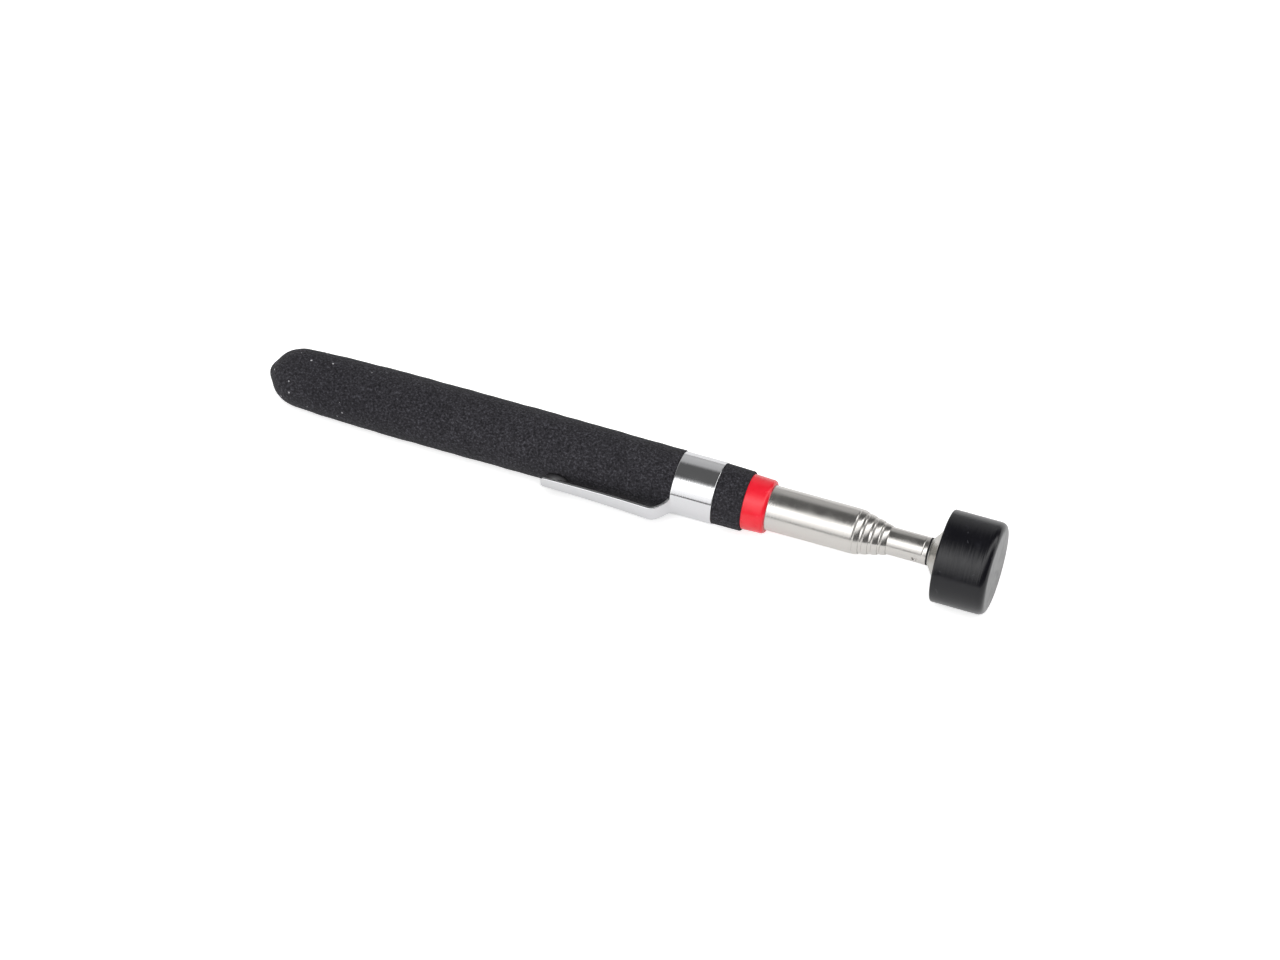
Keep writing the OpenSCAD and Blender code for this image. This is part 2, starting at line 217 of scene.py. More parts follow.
def tongue_lift(z):
    """Middle radius of the clip's sheet at height z, and its slope over the bend.

    A quarter sine over the bend, then a straight fall to the tip with a bow of half a sine towards the foam.
    """
    length = BEND_LEAD + BEND
    u = 0.5 * math.pi * np.clip((BAND_START + BEND_LEAD - z) / length, 0.0, 1.0)
    straight = np.clip((BAND_START - BEND - z) / (TONGUE - BEND), 0.0, 1.0)
    low = BAND_RADIUS - SHEET / 2
    lift = low + (ROOT_RADIUS - low) * np.sin(u)
    slope = (ROOT_RADIUS - low) * 0.5 * math.pi * np.cos(u) / length
    return lift + (TIP_RADIUS - ROOT_RADIUS) * straight - BOW * np.sin(math.pi * straight), slope


def tongue_half(z):
    """Half the width of the clip's tongue at height z.

    An even taper, a square of the height over the bend, and a power of the height in the flare at the band.
    """
    straight = np.clip((BAND_START - BEND - z) / (TONGUE - BEND), 0.0, 1.0)
    width = TONGUE_WIDTH + (TIP_WIDTH - TONGUE_WIDTH) * straight
    width = width + (ROOT_WIDTH - TONGUE_WIDTH) * np.clip(1.0 - (BAND_START - z) / BEND, 0.0, 1.0) ** 2
    flare = np.clip(1.0 - (BAND_START - z) / FLARE_LENGTH, 0.0, 1.0) ** FLARE_POWER
    return width / 2 + ROOT_FLARE * flare


def dome_floor(along, across, margin=0.0):
    """How far the clip's dome lies from the axis.

    A full bump, centre - depth (1 - (x / a)^2 - (y / b)^2)^power. Both semi-axes and the depth grow by the
    margin, and what lies beside the dome gets a large distance.
    """
    left = 1.0 - (along / (DOME_LONG + margin)) ** 2 - (across / (DOME_WIDE + margin)) ** 2
    floor = DOME_CENTRE - (DOME_DEEP + margin) * np.clip(left, 0.0, None) ** DOME_POWER
    return np.where(left > 0.0, floor, BESIDE)


def make_grip():
    """The foam sleeve: its radius formula, an easy edge at the band, the ring in front of it, and the bore.

    Three slow sine waves of a few hundredths of a millimetre run over it, as on skived foam, and its sealed
    tail is pinched a little round its tip. The clip's dome presses a dent with a raised lip, and the bend of
    the clip presses a hollow behind the band: the foam takes the smaller of its own radius and theirs.
    """
    under, bore, body_end = BAND_RADIUS - SHEET, TUBE_RADII[0], BAND_START - NECK_EDGE
    dome = BAND_START - TONGUE + DOME_SETBACK
    tail = TAIL_ROUND * np.linspace(0.0, 1.0, 40) ** 2
    fine = (dome - FINE_REACH, dome + FINE_REACH), (BAND_START - FINE_REACH, body_end)
    body = np.r_[tail, stations(TAIL_ROUND + 0.4, body_end, 0.6, 0.12, *fine)]
    corners = [
        [body_end, NECK_RADIUS],
        [BAND_START - 0.02, NECK_RADIUS],
        [BAND_START, under],
        [BAND_FRONT - 0.05, under],
        [BAND_FRONT, RING_RADIUS],
        [GRIP_FRONT, RING_FRONT_RADIUS],
        [GRIP_FRONT, bore],
        [BORE_START, bore],
        [BORE_START, 0.0],
    ]
    front = rounded(corners, [0.0, 0.3, 0.1, 0.1, 0.25, 0.45, 0.1, 0.1, 0.0])
    girth = grip_radius(body)
    pinch = PINCH * bell(girth, PINCH_GIRTH, PINCH_WIDTH) * (body < TAIL_ROUND)
    profile = np.concatenate([np.c_[body + pinch, girth], front])
    fine_turn = (CLIP_ROLL - 0.7, CLIP_ROLL + 0.7)
    angle = stations(0.0, 2.0 * math.pi - 0.01, 0.04, 0.016, fine_turn)[None, :]
    z, radius = profile[:, :1], profile[:, 1:]
    shown = smooth((radius - bore - 0.4) / 0.8) * smooth(z / WAVES_FROM)
    waves = np.sin(0.41 * z + 2.0 * angle) + np.sin(0.73 * z - 3.0 * angle + 1.0)
    waves = waves + np.sin(1.31 * z + angle + 2.0)
    foam = radius + WAVE * waves * shown
    turn = angle - CLIP_ROLL
    upright = np.maximum(np.cos(turn), 0.3)
    facing = upright > 0.3
    along, across = z - dome, GRIP_RADIUS * np.sin(turn)
    dent = np.where(facing, dome_floor(along, across, DENT_ROOM) / upright, BESIDE)
    lip = LIP * bell(np.hypot(along / DOME_LONG, across / DOME_WIDE), LIP_AT, LIP_WIDTH) * facing
    lift, slope = tongue_lift(z)
    floor = lift - 0.5 * SHEET * np.sqrt(1.0 + slope**2) - HOLLOW_ROOM
    aside = smooth((np.abs(BAND_RADIUS * np.sin(turn)) - tongue_half(z) - 0.05) / 0.4)
    hollow = np.where(facing & (z > BAND_START - BEND), floor + 2.0 * aside, BESIDE)
    pressed = lower(lower(foam + lip, dent), hollow)
    outside = (radius > under + 0.02) & (z < BAND_START + 0.01)
    return sheet_mesh("foam_sleeve", on_tool(z + 0.0 * angle, np.where(outside, pressed, foam), angle))


def make_band():
    """The clip's band: a thin ring with eased edges, turned, whose rear edge runs square into its tongue."""
    inner = BAND_RADIUS - SHEET
    corners = [
        [BAND_START, (inner + BAND_RADIUS) / 2],
        [BAND_START, BAND_RADIUS],
        [BAND_FRONT, BAND_RADIUS],
        [BAND_FRONT, inner],
        [BAND_START, inner],
        [BAND_START, (inner + BAND_RADIUS) / 2],
    ]
    eased = rounded(corners, [0.001, BAND_EDGE, BAND_EDGE, 0.1, 0.1, 0.001])
    square = rounded(corners, [0.001, 0.002, BAND_EDGE, 0.1, 0.1, 0.001])
    angle = np.linspace(0.0, 2.0 * math.pi, BAND_AROUND, endpoint=False)[None, :]
    off = np.abs((angle - CLIP_ROLL + math.pi) % (2.0 * math.pi) - math.pi) * BAND_RADIUS
    at_root = smooth((ROOT_WIDTH / 2 + ROOT_FLARE + 0.2 - off) / 0.3)[:, :, None]
    profile = eased[:, None] * (1.0 - at_root) + square[:, None] * at_root
    return sheet_mesh("clip_ring", on_tool(profile[..., 0], profile[..., 1], angle), loop=True)


def make_tongue():
    """The clip's tongue: a strip section with eased edges, carried along its bend and its run to the tip.

    The path starts just inside the band and follows tongue_lift. The section bows round the tool's axis: a
    point at y across lies at sqrt(r^2 - y^2) out from the axis. The dome is an oblong bump that stands out of
    the inner face alone. Each vertex of that face is marked, because the plating is dull there and its colour
    is darkened there as painted shade.
    """
    tip, half, near_tip = BAND_START - TONGUE, SHEET / 2, 5.6
    roll = np.sin(0.5 * math.pi * np.linspace(0.0, 1.0, 9))
    z = np.r_[
        np.linspace(BAND_START + BEND_LEAD, BAND_START - BEND, 44),
        np.linspace(BAND_START - BEND, tip + near_tip, 24)[1:],
        np.linspace(tip + near_tip, tip + TIP_EDGE, 56)[1:],
        tip + TIP_EDGE * (1.0 - roll[1:]),
    ][:, None]
    past = np.clip((tip + TIP_EDGE - z) / TIP_EDGE, 0.0, 1.0)
    shrink = TIP_EDGE * (1.0 - np.sqrt(np.clip(1.0 - past**2, 0.0, None)))
    lift, slope = tongue_lift(z)
    into_corner = np.clip((tip + TIP_CORNER - z) / TIP_CORNER, 0.0, 1.0)
    corner_cut = TIP_CORNER * (1.0 - np.sqrt(np.clip(1.0 - into_corner**2, 0.0, None)))
    side = tongue_half(z) - corner_cut - shrink
    # Once round the section: flat on the outside, an edge, flat on the inside, an edge.
    q, line = np.linspace(0.0, 0.5 * math.pi, 6)[1:-1], np.linspace(-1.0, 1.0, 31)
    ones, zero = np.ones_like(q), 0.0 * line
    face = np.r_[line, ones, ones, -line, -ones, -ones]
    bulge = np.r_[zero, np.sin(q), np.cos(q), zero, -np.sin(q), -np.cos(q)]
    rise = half - SIDE_EDGE
    out = np.r_[half + zero, rise + SIDE_EDGE * np.cos(q), -rise - SIDE_EDGE * np.sin(q)]
    out = np.r_[out, -half + zero, -rise - SIDE_EDGE * np.cos(q), rise + SIDE_EDGE * np.sin(q)]
    across = face * (side - SIDE_EDGE) + SIDE_EDGE * bulge
    out = np.sign(out) * np.maximum(np.abs(out) - shrink, 0.02)
    tilt = np.sqrt(1.0 + slope**2)
    path_radius, path_z = lift + out / tilt, z + out * slope / tilt
    from_axis = np.sqrt(path_radius**2 - across**2)
    dome = dome_floor(path_z - tip - DOME_SETBACK, across)
    from_axis = np.where(out < 0.0, lower(from_axis, dome), from_axis)
    deep, wide = np.cos(CLIP_ROLL), np.sin(CLIP_ROLL)
    across_y, across_z = -from_axis * wide - across * deep, -from_axis * deep + across * wide
    points = np.stack([path_z - TOTAL, across_y, across_z], -1)
    middle = points[-1].mean(0) + 0.0 * points[-1:]
    piece = sheet_mesh("clip_spring", np.concatenate([points, middle]))
    place = np.empty(3 * len(piece.data.vertices))
    piece.data.vertices.foreach_get("co", place)
    x, y, z = place.reshape(-1, 3).T / MM
    inner = np.hypot(y, z) < tongue_lift(x + TOTAL)[0]
    mark = piece.data.attributes.new("inner_face", "FLOAT", "POINT")
    mark.data.foreach_set("value", inner.astype(np.float32))
    return piece


def make_ferrule():
    """The ferrule: a slightly tapered ring with a rounded front edge, turned."""
    bore = TUBE_RADII[0]
    corners = [
        [GRIP_FRONT, bore],
        [GRIP_FRONT, FERRULE_RADIUS],
        [FERRULE_FRONT, FERRULE_FRONT_RADIUS],
        [FERRULE_FRONT, bore],
        [GRIP_FRONT, bore],
    ]
    line = rounded(corners, [0, 0.12, FERRULE_EDGE, 0.05, 0], 12)[:-1]
    return sheet_mesh("red_ferrule", turned(line), loop=True)


def tube_profile(number):
    """Once round a tube's wall: rear end, outside, rolled nose or plain end, and back along its bore.

    The crimp behind the nose dips by a full cosine. The nose falls by a share of a sine and of a cosine.
    """
    radius, rear, front = TUBE_RADII[number], TUBE_REARS[number], TUBE_FRONTS[number]
    bore = radius - TUBE_WALL
    start = [[rear, bore], [rear, radius]]
    ease = [0, 0.05]
    if number > 0:
        bead, seat = radius + BEAD_HEIGHT, rear + BEAD_WIDTH
        bead_start = seat + SHIM_SEAT
        bead_end = bead_start + BEAD_WIDTH
        start = [[rear, bore], [rear, bead], [seat, bead], [seat, radius]]
        start += [[bead_start, radius], [bead_start, bead], [bead_end, bead], [bead_end, radius]]
        ease = [0, 0.1, 0.1, 0.04, 0.04, 0.12, 0.12, 0.04]
    if number == LAST:
        end = [[front, radius], [front, bore], [rear, bore]]
        return rounded(start + end, ease + [0.06, 0.04, 0])[:-1]
    mouth, nose_start = TUBE_RADII[number + 1] + MOUTH_GAP, front - NOSE
    s = np.linspace(0.0, 1.0, 24)
    dip = CRIMP_DEPTH * 0.5 * (1.0 - np.cos(2.0 * math.pi * s))
    crimp = np.c_[nose_start - CRIMP_WIDTH * (1.0 - s), radius - dip]
    drop = NOSE_DROP * (radius - mouth - MOUTH_GAP)
    round_share = np.sin(0.5 * math.pi * s)
    fall = NOSE_ROUND * round_share + (1.0 - NOSE_ROUND) * (1.0 - np.cos(0.5 * math.pi * s))
    nose = np.c_[front - NOSE * (1.0 - round_share), radius - drop * fall]
    inside = [nose[-1], [front, mouth], [front - NOSE / 2, mouth], [nose_start, bore]]
    lip = rounded(inside, [0, 0.02, 0.1, 0.1])
    outside = rounded(start + [[nose_start - CRIMP_WIDTH - CRIMP_LEAD, radius]], ease + [0])
    return np.concatenate([outside, crimp, nose[1:], lip[1:]])


def make_tube(name, number):
    """A tube's wall turned about the axis.

    The last tube also has a fine line turned near its end and its punched dent: at distance a from the dent's
    middle the wall sinks by depth (1 - (a / radius)^3), inside a low raised rim.
    """
    profile = tube_profile(number)
    if number != LAST:
        return sheet_mesh(name, turned(profile), loop=True)
    dent, end = TUBE_FRONTS[LAST] - STAKE_SETBACK, TUBE_FRONTS[LAST] - END_LINE
    fine = (dent - 1.0, dent + 1.0), (end - 0.2, end + 0.2)
    rows = stations(dent - 1.2, end + 0.3, 0.1, 0.04, *fine)
    place = int(np.argmax(profile[:, 0] > end + 0.4))
    profile = np.insert(profile, place, np.c_[rows, rows * 0.0 + TUBE_RADII[LAST]], 0)
    fine_turn = (STAKE_ROLL - 0.36, STAKE_ROLL + 0.36)
    angle = stations(0.0, 2.0 * math.pi - 0.01, 0.04, 0.012, fine_turn)[None, :]
    z, radius = profile[:, :1], profile[:, 1:]
    share = np.hypot(z - dent, radius * np.sin(angle - STAKE_ROLL)) / STAKE_RADIUS
    outer = radius > TUBE_RADII[LAST] - 0.05
    punched = outer & (np.cos(angle - STAKE_ROLL) > 0.0)
    rim = STAKE_RIM * bell(share, STAKE_RIM_AT, STAKE_RIM_WIDTH)
    press = STAKE_DEPTH * np.clip(1.0 - share**3, 0.0, 1.0) - rim
    line = END_LINE_DEPTH * bell(z, end, END_LINE_WIDTH) * outer
    return sheet_mesh(name, on_tool(z + 0.0 * angle, radius - press * punched - line, angle), loop=True)


def make_stem():
    """The head's stem, turned: a shank with a groove for the dent, a filleted cone, and a spigot."""
    neck, groove = TUBE_RADII[LAST], TUBE_FRONTS[LAST] - STAKE_SETBACK
    corners = [
        [WASHER_FRONT - SHANK_LENGTH, 0.0],
        [WASHER_FRONT - SHANK_LENGTH, SHANK_RADIUS],
        [groove - GROOVE_TOP, SHANK_RADIUS],
        [groove - GROOVE_FLOOR, SHANK_RADIUS - GROOVE_DEPTH],
        [groove + GROOVE_FLOOR, SHANK_RADIUS - GROOVE_DEPTH],
        [groove + GROOVE_TOP, SHANK_RADIUS],
        [WASHER_FRONT, SHANK_RADIUS],
        [WASHER_FRONT, neck],
        [WASHER_FRONT + 0.12, neck + 0.02],
        [CUP_START - 0.05, CONE_RADIUS],
        [CUP_START, CONE_RADIUS],
        [CUP_START, SPIGOT_RADIUS],
        [CUP_START + CUP_BACK, SPIGOT_RADIUS],
        [CUP_START + CUP_BACK, 0.0],
    ]
    trims = [0, 0.3, 0.05, 0.05, 0.05, 0.05, 0.02, 0.03, 0.05, 0.02, 0.02, 0.05, 0.1, 0]
    return sheet_mesh("turned_stem", turned(rounded(corners, trims)))


def make_cap():
    """The head's cap: a turned cup, open at the back, with a round front edge and an eased back edge."""
    inner = CAP_RADIUS - CAP_WALL
    corners = [
        [TOTAL, 0.0],
        [TOTAL, CAP_RADIUS],
        [CAP_START, CAP_RADIUS],
        [CAP_START, inner],
        [TOTAL - CAP_FRONT, inner],
        [TOTAL - CAP_FRONT, 0.0],
    ]
    line = rounded(corners, [0, CAP_FRONT_EDGE, CAP_BACK_EDGE, 0.1, 0.1, 0], 14)
    return sheet_mesh("black_cap", turned(line, CAP_AROUND))


# Materials


def colour(hex_value):
    """An sRGB hex colour as linear RGBA."""
    srgb = np.array([int(hex_value[i : i + 2], 16) / 255.0 for i in (1, 3, 5)])
    linear = np.where(srgb <= 0.04045, srgb / 12.92, ((srgb + 0.055) / 1.055) ** 2.4)
    return (*linear.tolist(), 1.0)


def grey(value):
    """A linear grey."""
    return (value, value, value, 1.0)


def per_mm(size):
    """The texture scale at which one feature is this many millimetres, on coordinates in metres."""
    return 1.0 / (size * MM)


def add(tree, kind, settings=None, links=None):
    """Adds a node, sets its own properties, and gives each input a value or the output that feeds it.

    The setting stops gives a colour ramp its (position, colour) pairs.
    """
    made = tree.nodes.new("ShaderNode" + kind)
    for key, value in (settings or {}).items():
        if key != "stops":
            setattr(made, key, value)
            continue
        while len(made.color_ramp.elements) < len(value):
            made.color_ramp.elements.new(0.5)
        for element, (position, tint) in zip(made.color_ramp.elements, value):
            element.position, element.color = position, tint
    for key, value in (links or {}).items():
        if isinstance(value, bpy.types.NodeSocket):
            tree.links.new(value, made.inputs[key])
        else:
            made.inputs[key].default_value = value
    return made


def finish(name, shader):
    """A new material: its tree, its Principled shader with the given sockets, and its Object coordinates."""
    made = bpy.data.materials.new(name)
    made.use_nodes = True
    tree = made.node_tree
    principled = tree.nodes["Principled BSDF"]
    for key, value in shader.items():
        principled.inputs[key].default_value = value
    place = add(tree, "TexCoord").outputs["Object"]
    return made, tree, principled, place


def foam_material():
    """Closed-cell NBR foam, skived: matt charcoal, a salt-and-pepper grain of cut cells, and pale lint.

    The cells, taken as about 0.2 mm wide, are drawn about twice as coarse, so that they show.
    """
    matt = {"Roughness": 0.9, "Specular IOR Level": 0.2, "Sheen Weight": 0.04, "Sheen Roughness": 0.5}
    made, tree, shader, place = finish("skived_nbr_foam", matt)
    fine = {"Vector": place, "Scale": per_mm(0.46), "Detail": 3.0, "Roughness": 0.75}
    grain = add(tree, "TexNoise", links=fine).outputs["Fac"]
    cloud = add(tree, "TexNoise", links={"Vector": place, "Scale": per_mm(9.0), "Detail": 2.0})
    cells = add(tree, "TexVoronoi", links={"Vector": place, "Scale": per_mm(0.5)})
    tones = [(0.34, colour("#1a191c")), (0.52, colour("#333236")), (0.7, colour("#57565c"))]
    mottle = add(tree, "ValToRGB", {"stops": tones}, {"Fac": grain})
    fading = [(0.3, colour("#e8e8ea")), (0.7, colour("#ffffff"))]
    shade = add(tree, "ValToRGB", {"stops": fading}, {"Fac": cloud.outputs["Fac"]})
    multiply = {"data_type": "RGBA", "blend_type": "MULTIPLY"}
    tint = add(tree, "Mix", multiply, {0: 1.0, 6: mottle.outputs["Color"], 7: shade.outputs["Color"]})
    flecks = add(tree, "TexVoronoi", links={"Vector": place, "Scale": per_mm(LINT_SPACING)})
    chance = add(tree, "SeparateXYZ", links={"Vector": flecks.outputs["Color"]})
    rare = add(tree, "Math", {"operation": "GREATER_THAN"}, {0: chance.outputs["X"], 1: LINT_CUT})
    small = add(tree, "Math", {"operation": "LESS_THAN"}, {0: flecks.outputs["Distance"], 1: LINT_SIZE})
    along = add(tree, "SeparateXYZ", links={"Vector": place})
    reach = {1: along_tool(LINT_FROM)[0], 2: along_tool(LINT_FULL)[0], 3: 0.0, 4: LINT_STRENGTH}
    near_tail = add(tree, "MapRange", links={0: along.outputs["X"], **reach})
    both = add(tree, "Math", {"operation": "MULTIPLY"}, {0: rare.outputs[0], 1: small.outputs[0]})
    lint = add(tree, "Math", {"operation": "MULTIPLY"}, {0: both.outputs[0], 1: near_tail.outputs[0]})
    pale = {0: lint.outputs[0], 6: tint.outputs[2], 7: colour("#c9c8cc")}
    speckled = add(tree, "Mix", {"data_type": "RGBA"}, pale)
    tree.links.new(speckled.outputs[2], shader.inputs["Base Color"])
    height = add(tree, "Math", {"operation": "ADD"}, {0: grain, 1: cells.outputs["Distance"]})
    bump = add(tree, "Bump", links={"Strength": 0.6, "Distance": 0.0002, "Height": height.outputs[0]})
    tree.links.new(bump.outputs["Normal"], shader.inputs["Normal"])
    return made


def plated_material(name, tint, rough, worn, line_mm, line_depth, dull_and_shaded_inside=False):
    """A bright metal: polish that varies a little in handling, and fine lines round the axis from its making.

    The lines are drawn as coarse as they need to show. With the inside flag, the clip's inner face, marked on
    its mesh, is dull, and its colour is darkened as painted shade.
    """
    made, tree, shader, place = finish(name, {"Metallic": 1.0, "Base Color": colour(tint)})
    handled = {"Vector": place, "Scale": per_mm(3.5), "Detail": 4.0, "Roughness": 0.6}
    smear = add(tree, "TexNoise", links=handled)
    polish = add(tree, "MapRange", links={0: smear.outputs["Fac"], 1: 0.35, 2: 0.7, 3: rough, 4: worn})
    roughness = polish.outputs[0]
    if dull_and_shaded_inside:
        inner = add(tree, "Attribute", {"attribute_name": "inner_face"}).outputs["Fac"]
        dull = {0: inner, 1: INNER_DULL, 2: roughness}
        roughness = add(tree, "Math", {"operation": "MULTIPLY_ADD"}, dull).outputs[0]
        # Painted shade: the inner face's colour is mixed towards the darker inner tint.
        dark = {0: inner, 6: colour(tint), 7: colour(INNER_PAINTED_SHADE)}
        shade = add(tree, "Mix", {"data_type": "RGBA"}, dark)
        tree.links.new(shade.outputs[2], shader.inputs["Base Color"])
    tree.links.new(roughness, shader.inputs["Roughness"])
    stretch = add(tree, "Mapping", links={"Vector": place, "Scale": (per_mm(line_mm), 12.0, 12.0)})
    drawn = {"Vector": stretch.outputs[0], "Scale": 1.0, "Detail": 3.0, "Roughness": 0.7}
    lines = add(tree, "TexNoise", links=drawn)
    bump = add(tree, "Bump", links={"Strength": 0.3, "Distance": line_depth, "Height": lines.outputs["Fac"]})
    tree.links.new(bump.outputs["Normal"], shader.inputs["Normal"])
    return made


def red_material():
    """Moulded ABS, gloss red: clean colour, a soft broad shine and faint flow marks."""
    made, tree, shader, place = finish("moulded_red_abs", {"IOR": 1.53})
    flow = add(tree, "TexNoise", links={"Vector": place, "Scale": per_mm(2.2), "Detail": 3.0}).outputs["Fac"]
    tones = [(0.3, colour("#f3182c")), (0.7, colour("#fb2238"))]
    tint = add(tree, "ValToRGB", {"stops": tones}, {"Fac": flow})
    tree.links.new(tint.outputs["Color"], shader.inputs["Base Color"])
    gloss = add(tree, "MapRange", links={0: flow, 1: 0.3, 2: 0.7, 3: 0.2, 4: 0.28})
    tree.links.new(gloss.outputs[0], shader.inputs["Roughness"])
    bump = add(tree, "Bump", links={"Strength": 0.1, "Distance": 0.00005, "Height": flow})
    tree.links.new(bump.outputs["Normal"], shader.inputs["Normal"])
    return made


def cap_material():
    """Moulded ABS, black gloss: deep black, fine rings from the mould's turning, dull scuffs and scratches.

    The rings are drawn coarser than a mould's turning marks, so that they show. A scratch follows a level
    line of a slow noise, in the few patches where a second noise is high.
    """
    made, tree, shader, place = finish("moulded_black_abs", {"IOR": 1.47})
    rings = add(tree, "Mapping", links={"Vector": place, "Scale": (per_mm(0.4), 8.0, 8.0)})
    turned_mould = {"Vector": rings.outputs[0], "Scale": 1.0, "Detail": 3.0, "Roughness": 0.7}
    turning = add(tree, "TexNoise", links=turned_mould)
    rubbed = {"Vector": place, "Scale": per_mm(2.6), "Detail": 6.0, "Roughness": 0.75}
    scuff = add(tree, "TexNoise", links=rubbed).outputs["Fac"]
    bends = add(tree, "TexNoise", links={"Vector": place, "Scale": per_mm(4.5), "Detail": 0.0})
    level = add(tree, "Math", {"operation": "COMPARE"}, {0: bends.outputs["Fac"], 1: 0.5, 2: 0.006})
    patchy = {"Vector": place, "Scale": per_mm(4.0), "Detail": 5.0, "Roughness": 0.8}
    patch = add(tree, "TexNoise", links=patchy)
    rare = add(tree, "MapRange", links={0: patch.outputs["Fac"], 1: 0.56, 2: 0.62, 3: 0.0, 4: 0.45})
    scratch = add(tree, "Math", {"operation": "MULTIPLY"}, {0: level.outputs[0], 1: rare.outputs[0]})
    worn = add(tree, "MapRange", links={0: scuff, 1: 0.56, 2: 0.72, 3: 0.0, 4: 1.0})
    blacks = {0: worn.outputs[0], 6: colour("#0b0b11"), 7: colour("#17171f")}
    tint = add(tree, "Mix", {"data_type": "RGBA"}, blacks)
    scratched = {0: scratch.outputs[0], 6: tint.outputs[2], 7: colour("#77787e")}
    marked = add(tree, "Mix", {"data_type": "RGBA"}, scratched)
    tree.links.new(marked.outputs[2], shader.inputs["Base Color"])
    gloss = add(tree, "MapRange", links={0: scuff, 1: 0.45, 2: 0.75, 3: 0.18, 4: 0.3})
    tree.links.new(gloss.outputs[0], shader.inputs["Roughness"])
    bump = add(tree, "Bump", links={"Strength": 0.35, "Distance": 0.0001, "Height": turning.outputs["Fac"]})
    tree.links.new(bump.outputs["Normal"], shader.inputs["Normal"])
    return made


def plain_material(name, low, high, grain_mm, depth, shader_values):
    """A hidden or small piece's finish: two close tones in a fine grain, and a slight bump of that grain."""
    made, tree, shader, place = finish(name, shader_values)
    speck = {"Vector": place, "Scale": per_mm(grain_mm), "Detail": 4.0}
    grain = add(tree, "TexNoise", links=speck).outputs["Fac"]
    tint = add(tree, "ValToRGB", {"stops": [(0.35, colour(low)), (0.65, colour(high))]}, {"Fac": grain})
    tree.links.new(tint.outputs["Color"], shader.inputs["Base Color"])
    bump = add(tree, "Bump", links={"Strength": 0.3, "Distance": depth, "Height": grain})
    tree.links.new(bump.outputs["Normal"], shader.inputs["Normal"])
    return made


def along_tool(z):
    """The point of the tool's axis at height z, in metres."""
    return ((z - TOTAL) * MM, 0.0, 0.0)


foam = foam_material()
# Bright chrome plate: nearly a mirror, with sharp bands of light and dark. On the clip's inner face its
# colour is darkened as painted shade.
chrome = plated_material("bright_chrome_plate", "#e2e2e4", 0.06, 0.12, 0.5, 0.00002, dull_and_shaded_inside=True)
# Polished drawn stainless steel: a warmer, softer mirror with faint rings.
steel = plated_material("polished_drawn_stainless", "#d6d3cf", 0.16, 0.27, 0.3, 0.00004)
# Satin nickel plate: an even, blurred shine over turning marks.
nickel = plated_material("satin_nickel_plate", "#cfcdc8", 0.24, 0.36, 0.22, 0.00008)
red = red_material()
black = cap_material()
# Rolled brass strip: yellow, with a clean shine.
rolled = {"Metallic": 1.0, "Roughness": 0.3}
brass = plain_material("rolled_brass_strip", "#b8923f", "#c9a552", 0.8, 0.00002, rolled)
# Cut rubber sheet: black and dull.
rubber = plain_material("cut_rubber_sheet", "#0e0e10", "#17171a", 0.4, 0.00005, {"Roughness": 0.75})
# Moulded nylon: grey, half matt.
moulded = {"Roughness": 0.5, "IOR": 1.53}
polymer = plain_material("moulded_grey_nylon", "#8b8d92", "#979a9f", 0.9, 0.00004, moulded)
# Blackened steel: dark, with a soft metal shine.
dipped = {"Metallic": 1.0, "Roughness": 0.45}
blackened = plain_material("blackened_steel", "#2b2c30", "#3a3b40", 0.5, 0.00003, dipped)
# Plated sintered magnet: grey metal with a fine grain.
coated = {"Metallic": 1.0, "Roughness": 0.35}
sintered = plain_material("plated_sintered_magnet", "#8d8e92", "#a2a3a6", 0.5, 0.00003, coated)


# Pieces on their bodies


def dress(piece, material, body, slot, *nodes):
    """Gives a piece its material and body, and hides the CAD nodes that it stands for; the slot argument is
    not used.
    """
    piece.data.materials.append(material)
    if body:
        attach(piece, body)
    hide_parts(*nodes)


sleeve = make_grip()
dress(sleeve, foam, "handle", "nbr_foam", "grip")
dress(make_band(), chrome, "handle", "clip_chrome", "clip_band")
spring = make_tongue()
dress(spring, chrome, None, "clip_chrome", "clip_tongue")
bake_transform(spring)
dress(make_ferrule(), red, "handle", "red_plastic", "end_ferrule")
tube_names = ["outer_tube", "tube_2", "tube_3", "tube_4", "tube_5"]
tube_bodies = ["handle", "section_2", "section_3", "section_4", "tip"]
for number, (node_name, body) in enumerate(zip(tube_names, tube_bodies)):
    dress(make_tube("drawn_" + node_name, number), steel, body, "tube_steel", node_name)
dress(make_stem(), nickel, "tip", "stem_nickel", "head_stem")
dress(make_cap(), black, "tip", "cap_plastic", "head_cap")

shim_names = [f"shim_{number}_{half}" for number in (2, 3, 4, 5) for half in ("upper", "lower")]
kept = {"neck_washer": rubber, "tail_plug": polymer, "pole_cup": blackened, "magnet": sintered}
for node_name, material in [*kept.items(), *((name, brass) for name in shim_names)]:
    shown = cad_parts[node_name]
    shown.data.materials.clear()
    shown.data.materials.append(material)


# Floor, light and camera


